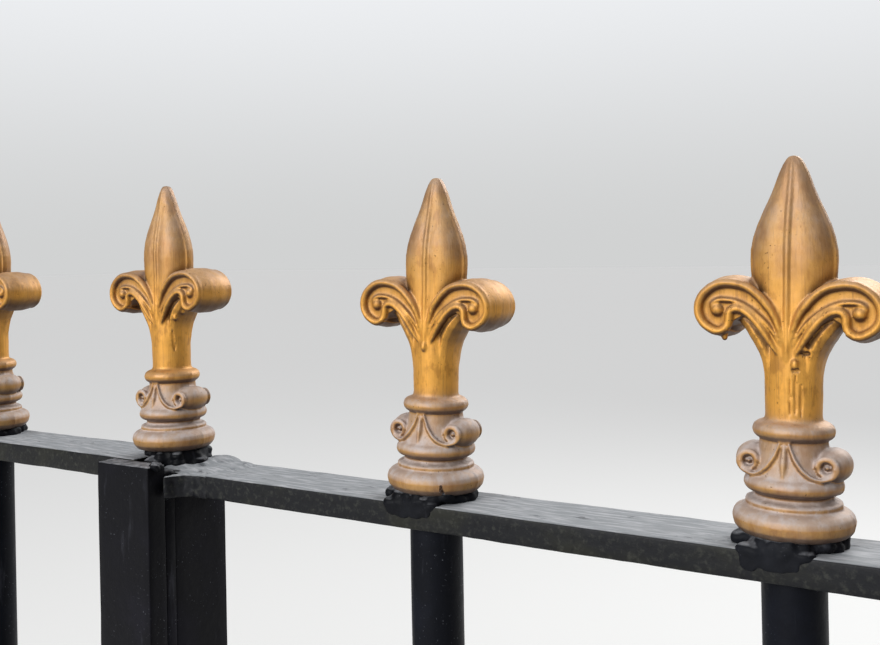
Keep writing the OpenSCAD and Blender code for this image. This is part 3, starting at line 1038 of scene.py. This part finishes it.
# Stage
def set_camera():
    """Stand where the photograph was taken: outside, to the right, a little above the rail."""
    yaw = math.radians(CAMERA_YAW)
    roll = math.radians(CAMERA_ROLL)
    level = Vector((math.cos(yaw), math.sin(yaw), 0))
    ahead = Vector((-math.sin(yaw), math.cos(yaw), 0))
    up = Vector((0, 0, 1))
    right = level * math.cos(roll) + up * math.sin(roll)
    top = up * math.cos(roll) - level * math.sin(roll)
    lens = bpy.data.cameras.new("camera")
    lens.lens = FOCAL_LENGTH
    lens.sensor_width = SENSOR_WIDTH
    lens.shift_y = CAMERA_SHIFT
    lens.clip_start = 0.01
    camera = bpy.data.objects.new("camera", lens)
    bpy.context.collection.objects.link(camera)
    turn = Matrix((right, top, -ahead)).transposed().to_4x4()
    camera.matrix_world = Matrix.Translation(CAMERA_AT) @ turn
    bpy.context.scene.camera = camera


def set_floor():
    """A pale floor that looks lighter than it lights the gate."""
    bpy.ops.object.select_all(action="DESELECT")
    bpy.ops.mesh.primitive_plane_add(size=FLOOR_SIZE)
    floor = named("floor")
    cover = Finish("pale_floor")
    lift = cover.times(cover.seen(), FLOOR_LIFT)
    floor.data.materials.append(cover.close(colour=paint("#b4b4b2"), rough=0.9, specular=0.1, glow=lift))


def set_lamps():
    """Two large soft lamps, both aimed at the middle of the gate."""
    for name, (at, size, power) in LAMPS.items():
        light = bpy.data.lights.new(name, "AREA")
        light.shape = "RECTANGLE"
        light.size, light.size_y = size
        light.energy = power
        holder = bpy.data.objects.new(name, light)
        bpy.context.collection.objects.link(holder)
        holder.location = at
        holder.rotation_euler = (Vector(LAMPS_AIM) - Vector(at)).to_track_quat("-Z", "Y").to_euler()


def set_room():
    """Pale all round, but for a dark screen at each end of the gate that only the lighting knows."""
    world = bpy.data.worlds.new("pale_room")
    bpy.context.scene.world = world
    world.use_nodes = True
    room = Layers(world.node_tree)
    towards = room.add("ShaderNodeTexCoord").outputs["Generated"]
    parts = room.add("ShaderNodeSeparateXYZ", {0: towards}).outputs
    wall = room.tint(paint("#d1d2d2"), paint("#f1f3f6"), room.step(parts["Z"], 0, WALL_FADE))
    sideways = room.combine("ABSOLUTE", parts["X"], 0)
    hidden = room.minus(1, room.add("ShaderNodeLightPath").outputs["Is Camera Ray"])
    screened = room.tint(wall, paint("#24211f"), room.times(room.step(sideways, *SCREENS), hidden))
    backdrop = world.node_tree.nodes["Background"]
    room.put(backdrop.inputs["Color"], screened)
    room.put(backdrop.inputs["Strength"], room.step(room.seen(), 0, 1, ROOM_LIGHT, 1))


set_camera()
PAINTS = {
    "rail_paint": rail_paint(),
    "frame_paint": worn_black("frame_paint", "#0f0f14", "#25242e", chalk=0.9),
    "bar_paint": worn_black("bar_paint", "#0c0e15", "#1f222d", speck=0.8),
    "post_paint": worn_black("post_paint", "#121315", "#25262b"),
    "hinge_steel": worn_black("hinge_paint", "#131417", "#2c2d32"),
    "weld_black": worn_black("weld_paint", "#101115", "#2b2d34", speck=0.4),
    "finial_gilt": gilt_paint(),
}

place_finials()
for side in SIDES:
    for part, section in SECTIONS.items():
        flat_bar(f"{side}_{part}", *section)
    round_bars(side + "_upper_bars", *UPPER_BAR_BEADS)
    round_bars(side + "_lower_bars", *LOWER_BAR_BEADS)
    leaf_beads(side)
flat_bar("cover_strip", *STRIP_SECTION)
place_seats()
centre_mound()
rail_end()
strip_weld()
for parts, edge in SIDE_FITTINGS:
    for side in SIDES:
        for part in parts:
            from_cad(f"{side}_{part}", edge)
for node, edge in MEETING_FITTINGS.items():
    from_cad(node, edge)
for side in SIDES:
    foot_bead(side)
set_floor()
set_lamps()
set_room()
bpy.context.scene.view_settings.view_transform = "Standard"
